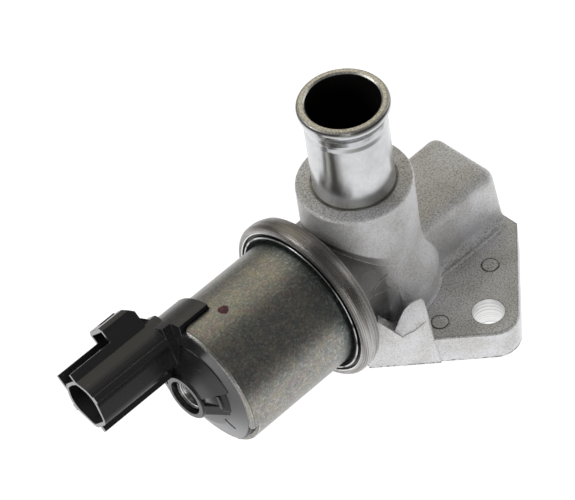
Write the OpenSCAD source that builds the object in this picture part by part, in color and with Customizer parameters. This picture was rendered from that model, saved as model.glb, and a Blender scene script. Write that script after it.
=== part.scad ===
// Idle air control valve: a cast air body with a hose nipple, and a solenoid crimped to its side.
// X runs along the solenoid, Z along the nipple. The origin lies on the mounting face, under the nipple.

/* [Air body] */
// Height of the solenoid's axis above the mounting face
axis_h = 20.2; // [19.8:0.1:21]
// Radius of the tower that holds the nipple
tower_r = 15.4; // [15:0.1:16]
// Height of the tower's top
tower_h = 47.3; // [45:0.5:52]
// Radius of the round foot under the tower
foot_r = 19.1; // [18.5:0.1:19.6]
// Radius of the barrel between tower and solenoid
barrel_r = 16.7; // [16.4:0.1:17.4]
// Wall between the barrel's outside and the valve chamber
barrel_wall = 4.3; // [4:0.1:5]
// Half the width of the outlet block
block_hw = 11.4; // [10.8:0.1:12.4]
// Height of the outlet block
block_h = 26.6; // [25.6:0.2:28]
// Distance from the nipple's axis to the block's end face
block_end = 39.3; // [37:0.5:44]
// Radius of the block's rounded edges
block_round = 3.4; // [2:0.2:4]
// Radius of the fillet along the block's foot
foot_fillet = 3; // [2:0.5:4]

/* [Mounting flange] */
// Thickness of the flange
flange_t = 9.1; // [7:0.1:10]
// Distance from the nipple's axis to the flange's front edge
flange_front = 23; // [22.5:0.1:25]
// Distance from the nipple's axis to the flange's outer edge
flange_side = 39.3; // [38.5:0.1:42]
// Distance from the nipple's axis to the hidden back edge
flange_back = 33.9; // [33.4:0.1:36]
// Distance from a bolt hole to the two edges beside it
bolt_inset = 8.1; // [7.5:0.1:9]
// Diameter of the bolt holes
bolt_d = 8.7; // [6.5:0.1:9]
// Radius of the flange's corners
corner_r = 7; // [5:0.1:8]
// Distance from the nipple's axis to the flange's end under the solenoid
flange_nose = 17; // [16:0.2:18]

/* [Nipple] */
// Outside diameter of the hose nipple
nipple_d = 22; // [21:0.1:22.4]
// Inside diameter of the hose nipple
nipple_bore = 19.5; // [18:0.1:19.8]
// Height of the nipple's open end
nipple_top = 75.9; // [70:0.5:80]
// Diameter of the rolled bead
bead_d = 24.2; // [23.4:0.1:25]
// Depth of the nipple in the tower
nipple_seat = 14; // [10:0.5:15]

/* [Air ports] */
// Diameter of the outlet in the mounting face
outlet_d = 16; // [13:0.5:16.5]
// Distance from the nipple's axis to the outlet
outlet_x = 23; // [21:0.5:27]
// Radius of the valve seat's opening
seat_r = 5.8; // [5:0.1:6.2]

/* [Crimped ring] */
// How far the ring stands out past its rolled lip
ring_t = 2.1; // [2:0.1:2.8]
// Front face of the ring
ring_front = 23.7; // [23.3:0.1:24.5]
// Width of the ring along the solenoid
ring_w = 5.5; // [5:0.1:6]
// Gap between the can and the rolled lip
lip_gap = 2.6; // [2.4:0.1:2.8]
// Thickness of the rolled lip
lip_t = 1.1; // [0.8:0.1:1.3]

/* [Solenoid] */
// Outside diameter of the solenoid can
can_d = 38; // [37.6:0.1:38.4]
// Wall of the solenoid can
can_wall = 1.3; // [1:0.1:1.6]
// Open end of the can
can_end = 60.4; // [60:0.2:66]
// Thickness of the can's flange
can_flange_t = 1.4; // [1:0.1:1.6]
// Start of the deep notch in the can's rim
notch_x = 50.2; // [49:0.2:53]
// Angle of the rim notch that the connector's hump fills
notch_angle = 72; // [60:1:76]
// Angle of the shallow rim notch on the far side
back_notch_angle = 102; // [80:1:110]
// Width of the armature as a share of the can's
armature_share = 0.39; // [0.37:0.005:0.41]
// Travel of the valve from closed to open
stroke = 3.5; // [2:0.1:4]

/* [Connector] */
// Turn of the connector from upright, towards the hidden side
conn_turn = 46; // [40:1:50]
// Open end of the connector
conn_end = 88.5; // [84:0.5:92]
// Distance from the solenoid's axis to the middle of the socket
conn_mid = 14.8; // [14.4:0.1:15.2]
// Outside size of the connector across its wide side
conn_w = 13.8; // [13.4:0.1:14.2]
// Outside size of the connector across its narrow side
conn_t = 13.2; // [12.8:0.1:13.8]
// Wall of the connector's shroud
conn_wall = 1.1; // [0.8:0.1:1.4]
// Depth of the socket
socket_depth = 18; // [14:0.5:20]
// Radius of the round boss in the middle of the cap
boss_r = 6.7; // [6.2:0.1:7]
// Front face of the boss
boss_end = 65.7; // [64.5:0.1:68]
// Radius of the boss's hole
boss_hole_r = 5.1; // [4.8:0.1:5.3]

/* [Valve gear] */
// Radius of the valve rod
rod_r = 2; // [1.6:0.1:2.4]
// Largest radius of the poppet
poppet_r = 7.6; // [7:0.1:8]
// Wire radius of the return spring
spring_wire = 0.45; // [0.3:0.05:0.5]
// Width of a terminal blade
blade_w = 2.8; // [2.2:0.1:3]
// Thickness of a terminal blade
blade_t = 0.8; // [0.6:0.1:1]

/* [Hidden] */
$fn = 72;

slip = 0.1;
over = 1;
can_r = can_d / 2;
can_in = can_r - can_wall;
lip_r = can_r + lip_gap;
ring_r = lip_r + ring_t;
chamber_r = barrel_r - barrel_wall;
armature_r = armature_share * can_r;
ring_back = ring_front - ring_w;
can_front = ring_front - lip_t - can_flange_t;
can_flange_r = lip_r + 0.8;
// the chamber's rear wall carries the seat
seat_wall_x = -7;
seat_wall_t = 2.5;
seat_ring_r = seat_r + 1.7;
seat_lip = 0.5;
outlet_r = outlet_d / 2;
block_roof = 5.9;
// the block stands a little towards the visible bolt hole
block_shift = 0.6;
passage_h = block_h - block_roof - outlet_r;
tower_bore_r = nipple_bore / 2;
tower_bore_low = axis_h + seat_ring_r + 1.2;
nipple_r = nipple_d / 2;
nipple_low = tower_h - nipple_seat;
// flange corners in the plate's own frame, which is turned by an eighth of a circle
plate_turn = 135;
// the hidden left edge puts both bolt holes on one line across the solenoid
flange_left = flange_back - flange_side + flange_front;
hole_a = [flange_side - bolt_inset, bolt_inset - flange_front];
hole_b = [bolt_inset - flange_left, flange_back - bolt_inset];
chamfer = 0.5;
// o-ring groove in front of the chamber
o_ring_in = 0.2;
o_ring_r = (chamber_r + can_r) / 2 - o_ring_in;
o_ring_wire = 1;
// stations along the solenoid, from the can's flange to the cap
plate_t = 3;
bobbin_front = can_front + plate_t;
flange_bob = 1.2;
yoke_front = 51.6;
yoke_t = 3;
yoke_back = yoke_front + yoke_t;
sleeve_in = armature_r + 0.25;
sleeve_wall = 0.4;
sleeve_out = sleeve_in + sleeve_wall;
bobbin_bore = sleeve_out + slip;
bobbin_tube = bobbin_bore + 1.1;
winding_r = can_in - 1.4;
armature_front = bobbin_front + 2.8;
air_gap = stroke + 0.6;
armature_len = 14;
armature_back = armature_front + armature_len;
core_front = armature_back + air_gap;
core_r = sleeve_in - slip;
core_bore = 4.6;
core_spigot = boss_hole_r - 0.35;
thread_r = 4;
adjuster_tip = yoke_front + 1;
spring_r = 3.5;
recess_r = spring_r + spring_wire + 0.3;
recess_depth = 2;
bush_r = rod_r + 1.8;
rod_front = seat_wall_x - seat_wall_t - 1;
poppet_front = seat_wall_x + seat_lip + slip;
poppet_tail = poppet_front - 1.6;
cap_face = can_end + 0.6;
cap_back = yoke_back + 0.2;
seal_wire = 0.9;
seal_x = cap_back + 1.6;
back_notch_x = seal_x + 1.4;
back_notch_turn = 163;
hump_r = can_r + 1.4;
hump_end = can_end + 3;
bridge_front = 64.2;
blade_gap = 5.4;
blade_end = conn_end - 4.5;
blade_step = 62;
step_t = 1;
foot_gap = 0.48 * (can_in - 2 * seal_wire - bobbin_tube);
foot_mid = (can_in - 2 * seal_wire + bobbin_tube) / 2;
foot_w = foot_gap / 2;
// post of the bobbin that carries the terminals through the yoke
post_w = 4.4;
post_gap = 0.8;
post_h = can_in - bobbin_tube - 2 * post_gap;
socket_floor = conn_end - socket_depth;

// places a shape that is drawn standing so that it lies along the solenoid's axis
module along_x(x = 0) translate([x, 0, axis_h]) rotate([0, 90, 0]) children();

// a turned piece: each point is a radius and a station along X
module turned(profile) along_x() rotate_extrude() polygon(profile);

// the connector's own frame: Z points from the solenoid's axis to the connector
module clocked() translate([0, 0, axis_h]) rotate([conn_turn, 0, 0]) children();

// the flange's own frame: its square plate stands at 45 degrees to the solenoid
module plate_frame() rotate([0, 0, plate_turn]) children();

// points of an arc, from angle a to angle b
function arc(c, r, a, b, steps) =
    [for (i = [0 : steps]) let (t = a + (b - a) * i / steps) [c[0] + r * cos(t), c[1] + r * sin(t)]];

// a coil spring along X: rings of points round a helix, with a closing turn at each end
module coil_spring(x, len, mean_r, wire, turns, sides = 6, per_turn = 14) {
    rings = turns * per_turn;
    function lift(i) = let (s = i / rings) wire + (len - 2 * wire) * (3 * s * s - 2 * s * s * s);
    points = [for (i = [0 : rings]) let (a = 360 * i / per_turn) for (j = [0 : sides - 1])
        let (b = 360 * j / sides, r = mean_r + wire * cos(b))
        [x + lift(i) + wire * sin(b), r * cos(a), axis_h + r * sin(a)]];
    walls = [for (i = [0 : rings - 1]) for (j = [0 : sides - 1]) let (k = (j + 1) % sides)
        [i * sides + j, i * sides + k, (i + 1) * sides + k, (i + 1) * sides + j]];
    first = [for (j = [0 : sides - 1]) sides - 1 - j];
    last = [for (j = [0 : sides - 1]) rings * sides + j];
    polyhedron(points, concat([first], walls, [last]), convexity = 8);
}

// a sector of a tube round the solenoid's axis, centred on an angle from the connector's direction
module tube_sector(x0, x1, r0, r1, middle, width) {
    reach = 2 * r1;
    clocked() rotate([middle, 0, 0]) intersection() {
        translate([x0, 0, 0]) rotate([0, 90, 0]) difference() {
            cylinder(h = x1 - x0, r = r1);
            translate([0, 0, -over]) cylinder(h = x1 - x0 + 2 * over, r = r0);
        }
        translate([x0 - over, 0, 0]) rotate([90, 0, 90]) linear_extrude(x1 - x0 + 2 * over)
            polygon([[0, 0], [-reach * tan(width / 2), reach], [reach * tan(width / 2), reach]]);
    }
}

module flange_plate() {
    small = 2;
    corners = [
        [flange_side - corner_r, corner_r - flange_front, corner_r],
        [bolt_inset - flange_left, flange_back - bolt_inset, bolt_inset],
        [small - flange_left, small - flange_front, small]];
    // the end that carries the block runs past its cut, and as wide as the block's foot
    reach = block_hw + block_shift + foot_fillet + 0.3;
    intersection() {
        hull() {
            plate_frame() for (c = corners) {
                translate([c[0], c[1], 0]) cylinder(h = flange_t - chamfer, r = c[2], $fn = 32);
                translate([c[0], c[1], 0]) cylinder(h = flange_t, r = c[2] - chamfer, $fn = 32);
            }
            translate([-block_end - small, -reach, 0]) cube([small, 2 * reach, flange_t]);
        }
        translate([-block_end, -100, -over]) cube([block_end + flange_nose, 200, flange_t + 2 * over]);
    }
}

// the tower, and the round foot that carries it, which stops short of the solenoid and the hidden edge
module tower_body() {
    edge = 0.8;
    shoulder_top = 27;
    shoulder_low = 14.5;
    toe = 0.9;
    near = 7;
    hidden = 17;
    far = 30;
    translate([0, 0, over]) rotate_extrude() polygon(concat(
        [[0, 0], [tower_r, 0]],
        arc([tower_r - edge, tower_h - over - edge], edge, 0, 90, 4),
        [[0, tower_h - over]]));
    intersection() {
        rotate_extrude() polygon([[0, over], [foot_r, over], [foot_r, flange_t - over],
            [foot_r + toe, flange_t - 0.2], [foot_r + toe * 0.3, flange_t + toe * 0.4], [foot_r, flange_t + toe],
            [foot_r, shoulder_low], [foot_r - 0.7, shoulder_low + 3.2],
            [(foot_r + tower_r) / 2, (shoulder_top + shoulder_low) / 2],
            [tower_r + 0.6, shoulder_top - 3], [tower_r - 0.05, shoulder_top], [0, shoulder_top]]);
        translate([-far, -hidden, 0]) cube([far + near, far + hidden, tower_h]);
    }
}

// the block stands a little inside the flange's end, as a casting's draft leaves it
module outlet_block() {
    r = block_round;
    draft = 0.3;
    end = block_end - draft;
    hull() {
        for (y = [-1, 1], x = [r - end, -r])
            translate([x, y * (block_hw - r), block_h - r]) sphere(r = r, $fn = 28);
        translate([-end, -block_hw, over]) cube([end, 2 * block_hw, flange_t]);
    }
    for (side = [0, 1]) mirror([0, side, 0]) difference() {
        translate([draft - end, 0, flange_t - over]) cube([end - over, block_hw + foot_fillet, foot_fillet + over]);
        translate([-end - over, block_hw + foot_fillet, flange_t + foot_fillet]) rotate([0, 90, 0])
            cylinder(h = end + 2 * over, r = foot_fillet);
    }
}

// the wall at the flange's front edge, and the tooth that leans back from its fold towards the tower's foot
module front_gusset() {
    proud = 0.5;
    wall_t = 2.6;
    left = -1;
    right = 17.9;
    lean = 2;
    fold_low = [9.1, 10.7];
    fold_high = [right - lean, 15.6];
    valley = [3.1, 17.6];
    face = -flange_front - proud;
    // outline of the tooth: distance along the flange's edge, distance behind the wall's face, height
    tooth = [[6.9, 0.9, 13], [8.3, 1.5, 16.4], [9.7, 1.9, 19.3], [11.4, 2.1, 21.5], [13, 2.1, 22.7],
        [14.6, 2, 23.6], [15.3, 1.7, 22.9], [15.65, 1.1, 20.9]];
    // how far back, and down with it, the tooth's body runs
    depth = 8;
    drop = 1.15 * depth;
    plate_frame() {
        translate([0, face + wall_t, 0]) rotate([90, 0, 0]) linear_extrude(wall_t)
            polygon([[left, 0], [right, 0], fold_high, fold_low, valley, [left, valley[1]]]);
        hull() {
            for (back = [0, 1]) for (q = tooth)
                translate([q[0] - 0.9 * back, face + q[1] + back * depth, q[2] - back * drop])
                    rotate([90, 0, 0]) cylinder(h = 0.1, r = 0.05, $fn = 4);
            translate([0, face + wall_t, 0]) rotate([90, 0, 0]) linear_extrude(wall_t)
                polygon([[right - lean * 2 / fold_high[1], 2], fold_high, fold_low, [fold_low[0], 2]]);
        }
    }
}

// flat upright faces that the mould leaves under the barrel's widest line, behind the front gusset
module barrel_flats() {
    cut = 1.3;
    near = 4.5;
    flat_near = 6.9;
    flat_far = 12.2;
    far = 15.7;
    out = 30;
    translate([0, 0, flange_t]) linear_extrude(tower_h)
        polygon([[near, barrel_r + 0.1], [flat_near, barrel_r - cut], [flat_far, barrel_r - cut], [far, barrel_r],
            [far, out], [near, out]]);
}

module housing_ring() {
    soft = 1.4;
    turned(concat(
        [[0, ring_back - 1.2], [barrel_r, ring_back - 1.2], [barrel_r + 1.2, ring_back - 0.4],
            [barrel_r + 2.6, ring_back], [ring_r - 0.7, ring_back], [ring_r - 0.2, ring_back + 1.4]],
        [[ring_r, ring_back + 2.4]],
        arc([ring_r - soft, ring_front - soft], soft, 0, 90, 5),
        [[0, ring_front]]));
}

module valve_housing() color([0.66, 0.65, 0.62]) difference() {
    union() {
        flange_plate();
        difference() {
            union() {
                tower_body();
                along_x() cylinder(h = ring_front - over, r = barrel_r);
            }
            barrel_flats();
        }
        housing_ring();
        translate([0, block_shift, 0]) outlet_block();
        front_gusset();
    }
    // the nipple's seat with its lead-in, and the way down into the chamber
    translate([0, 0, nipple_low]) cylinder(h = nipple_seat + over, r = nipple_r);
    translate([0, 0, tower_h - 0.6]) cylinder(h = 0.6 + over, r = nipple_r + 0.45);
    translate([0, 0, tower_bore_low]) cylinder(h = tower_h - tower_bore_low, r = tower_bore_r);
    along_x(seat_wall_x) cylinder(h = ring_front - seat_wall_x, r = chamber_r);
    // valve seat, the pocket behind it, and the passage down to the outlet
    along_x(seat_wall_x - seat_wall_t - over) cylinder(h = seat_wall_t + 2 * over, r = seat_ring_r);
    along_x(seat_wall_x - seat_wall_t - 3) cylinder(h = 3, r = seat_ring_r - 0.6);
    translate([-outlet_x, 0, passage_h]) rotate([0, 90, 0])
        cylinder(h = outlet_x + seat_wall_x - seat_wall_t, r = outlet_r);
    translate([-outlet_x, 0, -over]) cylinder(h = passage_h + over, r = outlet_r);
    translate([-outlet_x, 0, passage_h]) sphere(r = outlet_r);
    // o-ring groove, the can's seat and the opening of the rolled lip
    along_x(can_front - 2 * o_ring_wire) difference() {
        cylinder(h = 2 * o_ring_wire + over, r = o_ring_r + o_ring_wire + 0.3);
        translate([0, 0, -over]) cylinder(h = 2 * o_ring_wire + 3 * over, r = o_ring_r - o_ring_wire - 0.3);
    }
    along_x(can_front) cylinder(h = can_flange_t, r = can_flange_r);
    along_x(can_front) cylinder(h = can_flange_t + lip_t + over, r = lip_r);
    plate_frame() for (h = [hole_a, hole_b])
        translate([h[0], h[1], -over]) cylinder(h = flange_t + 2 * over, r = bolt_d / 2);
}

module hose_nipple() {
    top = nipple_top;
    bead_r = bead_d / 2;
    neck = nipple_r - 0.35;
    color([0.78, 0.78, 0.76]) rotate_extrude() polygon([
        [nipple_bore / 2, nipple_low], [nipple_r, nipple_low], [nipple_r, tower_h + 0.8],
        [nipple_r - 0.15, tower_h + 2.4], [nipple_r - 0.15, top - 8.3], [neck, top - 7.1], [neck, top - 6.3],
        [nipple_r - 0.05, top - 4.6], [nipple_r + 0.35, top - 3.6], [bead_r - 0.3, top - 2.8],
        [bead_r - 0.08, top - 2.2], [bead_r, top - 1.5], [bead_r - 0.1, top - 0.8], [bead_r - 0.4, top - 0.35],
        [bead_r - 0.9, top - 0.12], [nipple_bore / 2 + 0.5, top], [nipple_bore / 2, top - 0.5]]);
}

module seat_ring() color([0.8, 0.67, 0.36]) turned([
    [seat_r, seat_wall_x - seat_wall_t], [seat_ring_r, seat_wall_x - seat_wall_t],
    [seat_ring_r, seat_wall_x], [seat_ring_r - 0.5, seat_wall_x + seat_lip],
    [seat_r + 0.4, seat_wall_x + seat_lip], [seat_r, seat_wall_x + 0.1]]);

module poppet() {
    rim_t = 1.4;
    hub_t = 1.4;
    hub_len = 6;
    color([0.8, 0.67, 0.36]) turned([
        [rod_r, poppet_tail], [seat_r - 0.9, poppet_tail], [seat_r - 0.3, poppet_front],
        [poppet_r, poppet_front], [poppet_r, poppet_front + rim_t], [rod_r + hub_t + 0.6, poppet_front + rim_t + 1],
        [rod_r + hub_t, poppet_front + hub_len], [rod_r, poppet_front + hub_len]]);
}

module rod_clip() {
    back = poppet_tail;
    color([0.55, 0.55, 0.56]) difference() {
        turned([[rod_r, back - 0.8], [rod_r + 1.5, back - 0.8], [rod_r + 1.5, back], [rod_r, back]]);
        translate([back - 1, -0.7, axis_h]) cube([1.2, 1.4, rod_r + 2]);
    }
}

module valve_rod() color([0.75, 0.75, 0.76]) turned([
    [0, rod_front], [rod_r - 0.4, rod_front], [rod_r, rod_front + 0.4],
    [rod_r, armature_back - recess_depth - 0.4], [0, armature_back - recess_depth - 0.4]]);

module front_bush() color([0.8, 0.67, 0.36]) turned([
    [rod_r + slip, can_front - 2], [bush_r - 0.5, can_front - 2], [bush_r, can_front - 1.5],
    [bush_r, bobbin_front], [rod_r + slip, bobbin_front]]);

module housing_o_ring() color([0.12, 0.12, 0.13]) along_x(can_front - o_ring_wire)
    rotate_extrude() translate([o_ring_r, 0]) circle(r = o_ring_wire, $fn = 24);

module base_plate() color([0.62, 0.62, 0.63]) turned([
    [bush_r, can_front], [can_in - slip, can_front], [can_in - slip, bobbin_front - 0.4],
    [can_in - slip - 0.4, bobbin_front], [bush_r, bobbin_front]]);

module balance_spring() color([0.7, 0.7, 0.72])
    coil_spring(bobbin_front, armature_front + recess_depth - bobbin_front, bush_r + 0.3, spring_wire * 0.8, 3);

module solenoid_can() color([0.6, 0.61, 0.57]) difference() {
    bend = 1;
    turned(concat(
        [[can_in, can_front], [can_flange_r, can_front], [can_flange_r, can_front + can_flange_t]],
        arc([can_r + bend, can_front + can_flange_t + bend], bend, 270, 180, 4),
        [[can_r, can_end - 0.5], [can_r - 0.5, can_end], [can_in, can_end]]));
    tube_sector(notch_x, can_end + over, can_in - over, can_r + over, 0, notch_angle);
    tube_sector(back_notch_x, can_end + over, can_in - over, can_r + over, back_notch_turn, back_notch_angle);
    rim_corner();
}

// rounds the corner between the can's rim and the near side of the hump's notch
module rim_corner() {
    r = 3;
    run = 3;
    start = 284;
    end = 352;
    mid = [can_end - r, 0];
    clocked() rotate([-notch_angle / 2 - asin(r / can_r), 0, 0]) translate([0, 0, can_in - 2])
        linear_extrude(can_wall + 4) polygon(concat(
            [mid + r * [cos(start), sin(start)] + run * [sin(start), -cos(start)]],
            arc(mid, r, start, end, 6),
            [mid + r * [cos(end), sin(end)] + run * [-sin(end), cos(end)],
                [can_end + over, run], [can_end + over, -r - over], [can_end - r - run, -r - over]]));
}

// a thin ring that stands between the can and the rolled lip, on a flat foot
module can_collar() {
    inner = can_r + 0.5 * lip_gap;
    wall = 0.45;
    rise = 0.35;
    foot = ring_front - lip_t + slip;
    foot_top = foot + 0.4;
    color([0.68, 0.69, 0.68]) turned([
        [inner, foot], [lip_r - 0.3, foot], [lip_r - 0.3, foot_top], [inner + wall, foot_top],
        [inner + wall, ring_front + rise - 0.15], [inner + wall - 0.15, ring_front + rise],
        [inner, ring_front + rise]]);
}

module guide_sleeve() color([0.8, 0.67, 0.36]) turned([
    [sleeve_in, bobbin_front], [sleeve_out, bobbin_front],
    [sleeve_out, yoke_back], [sleeve_in, yoke_back]]);

module coil_bobbin() color([0.16, 0.17, 0.2]) {
    outer = can_in - 0.3;
    turned([
        [bobbin_bore, bobbin_front], [outer, bobbin_front], [outer, bobbin_front + flange_bob],
        [bobbin_tube, bobbin_front + flange_bob], [bobbin_tube, yoke_front - flange_bob],
        [outer, yoke_front - flange_bob], [outer, yoke_front], [bobbin_bore, yoke_front]]);
    clocked() translate([yoke_front - 2 * slip, -post_w / 2, bobbin_tube + post_gap])
        cube([yoke_t + 2 * slip, post_w, post_h]);
}

module coil_winding() {
    first = bobbin_front + flange_bob;
    last = yoke_front - flange_bob;
    wires = 18;
    pitch = (last - first) / wires;
    color([0.72, 0.42, 0.22]) turned(concat(
        [[bobbin_tube, first]],
        [for (i = [0 : wires - 1]) each [[winding_r - 0.25, first + pitch * i],
            [winding_r, first + pitch * (i + 0.5)]]],
        [[winding_r - 0.25, last], [bobbin_tube, last]]));
}

module armature() {
    vent = 1;
    color([0.58, 0.58, 0.6]) difference() {
        turned([
            [rod_r, armature_front + recess_depth], [bush_r + 0.9, armature_front + recess_depth],
            [bush_r + 0.9, armature_front], [armature_r - 0.4, armature_front],
            [armature_r, armature_front + 0.4], [armature_r, armature_back - 0.4],
            [armature_r - 0.4, armature_back], [recess_r, armature_back],
            [recess_r, armature_back - recess_depth], [rod_r, armature_back - recess_depth]]);
        for (side = [-1, 1]) translate([0, 0, side * armature_r])
            along_x(armature_front - over) cylinder(h = armature_len + 2 * over, r = vent, $fn = 24);
    }
}

module return_spring() color([0.7, 0.7, 0.72])
    coil_spring(armature_back - recess_depth, adjuster_tip - armature_back + recess_depth, spring_r, spring_wire, 6);

module pole_core() color([0.62, 0.62, 0.63]) turned([
    [core_bore, core_front], [core_r - 0.4, core_front], [core_r, core_front + 0.4], [core_r, yoke_back],
    [core_spigot, yoke_back], [core_spigot, boss_end - 1.6], [core_spigot - 0.3, boss_end - 1.3],
    [thread_r, boss_end - 1.3], [thread_r, yoke_back - 1], [core_bore, yoke_back - 2]]);

module rear_yoke() color([0.62, 0.62, 0.63]) difference() {
    turned([[sleeve_out + slip, yoke_front], [can_in - slip, yoke_front],
        [can_in - slip, yoke_back], [sleeve_out + slip, yoke_back]]);
    clocked() translate([yoke_front - over, -post_w / 2 - slip, bobbin_tube + post_gap - slip])
        cube([yoke_t + 2 * over, post_w + 2 * slip, post_h + 2 * slip]);
}

module adjuster_screw() color([0.7, 0.7, 0.68]) difference() {
    turned([[0, adjuster_tip], [thread_r - slip, adjuster_tip], [thread_r - slip, boss_end - 3], [0, boss_end - 3]]);
    translate([boss_end - 4.4, -0.5, axis_h - thread_r - over]) cube([2, 1, 2 * (thread_r + over)]);
}

module cap_seal() color([0.12, 0.12, 0.13]) along_x(seal_x)
    rotate_extrude() translate([can_in - seal_wire, 0]) circle(r = seal_wire, $fn = 24);

// one terminal: a blade in the socket, a step in the cap and a foot on the bobbin's post; side is -1 or 1
module terminal_strip(side, grow = 0) {
    t = blade_t + 2 * grow;
    out = conn_mid + side * blade_gap / 2;
    foot = foot_mid + side * foot_gap / 2;
    // the two steps lie one behind the other
    step_x = blade_step - side * step_t;
    clocked() {
        translate([step_x, -t / 2, out - blade_w / 2 - grow]) cube([blade_end - step_x, t, blade_w + 2 * grow]);
        translate([step_x - step_t - grow, -t / 2, min(out, foot) - foot_w / 2 - grow])
            cube([step_t + 2 * grow, t, abs(out - foot) + foot_w + 2 * grow]);
        translate([yoke_back, -t / 2, foot - foot_w / 2 - grow]) cube([step_x - yoke_back, t, foot_w + 2 * grow]);
    }
}

module terminal_left() color([0.8, 0.78, 0.7]) terminal_strip(-1);
module terminal_right() color([0.8, 0.78, 0.7]) terminal_strip(1);

// cross-section of the connector: wide along Z, bulged sides, drawn about the socket's middle
module socket_outline(shrink) {
    half_w = conn_w / 2 - shrink;
    half_t = conn_t / 2 - shrink;
    soft = 2.6 - shrink;
    hull() {
        for (z = [-1, 1], y = [-1, 1]) translate([z * (half_w - soft), y * (half_t * 0.66 - soft)]) circle(r = soft, $fn = 24);
        for (y = [-1, 1]) translate([0.6, y * (half_t - 5.4)]) circle(r = 5.4, $fn = 40);
    }
}
// lays a drawing of the socket's section across X
module across_x(x, len) translate([x, 0, 0]) rotate([0, -90, 0]) mirror([0, 0, 1]) linear_extrude(len) children();

module connector_shell() clocked() {
    half_w = conn_w / 2;
    rib_w = 1.9;
    rib_t = 0.9;
    rail_t = 0.8;
    len = conn_end - cap_face;
    fin_start = bridge_front + 1;
    fin_len = conn_end - fin_start;
    across_x(cap_face - 1, len + 1) translate([conn_mid, 0]) socket_outline(0);
    // two fins along the outer edge, and one rail along the inner edge
    translate([fin_start, 2.7, conn_mid + half_w - 2.2]) cube([fin_len, rail_t, 4.1]);
    translate([fin_start, -4.5, conn_mid + half_w - 2.2]) cube([fin_len, rail_t, 5]);
    translate([cap_face, -1, conn_mid - half_w - 1.6]) cube([len, 1.3, 2.6]);
    // key ribs on both wide sides
    for (side = [-1, 1])
        translate([cap_face + 2, side * (conn_t / 2 + rib_t / 2 - 0.6) - rib_t / 2 - 0.3, conn_mid - rib_w / 2 + 0.2])
            cube([len - 2, rib_t + 0.6, rib_w]);
}

// bridge over the fins that the plug's latch snaps behind
module lock_bridge() clocked() {
    front = bridge_front;
    len = 10.4;
    top = 28.1;
    roof = 1.2;
    wall = 0.8;
    left = -4.5;
    right = 3.5;
    edge = 1;
    low = conn_mid + conn_w / 2 - 2;
    slope = 1.6;
    sill = 3;
    web_top = 23.9;
    difference() {
        translate([front, 0, 0]) rotate([90, 0, 90]) linear_extrude(len)
            polygon([[left, low], [right, low], [right, top - edge], [right - edge, top], [left + edge, top], [left, top - edge]]);
        translate([front + 2, left + wall, low + sill]) cube([len, right - left - 2 * wall, top - roof - low - sill]);
        // slot in the roof
        translate([front + 1.6, left + 1.3, top - roof - over]) cube([len - 4, 2.8, roof + 2 * over]);
        // the roof falls off towards the solenoid
        translate([front, left - over, top]) rotate([0, 45, 0])
            translate([-slope, 0, -slope]) cube([2 * slope, right - left + 2 * over, 2 * slope]);
    }
    // web that ties the bridge to the hump
    rotate([90, 0, 0]) translate([0, 0, -1.6]) linear_extrude(3.6)
        polygon([[hump_end - 4, hump_r - 2.4], [front + 1, hump_r - 2.4], [front + 1, web_top], [front - 0.4, web_top],
            [hump_end - 3, hump_r + 0.1]]);
}

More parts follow.
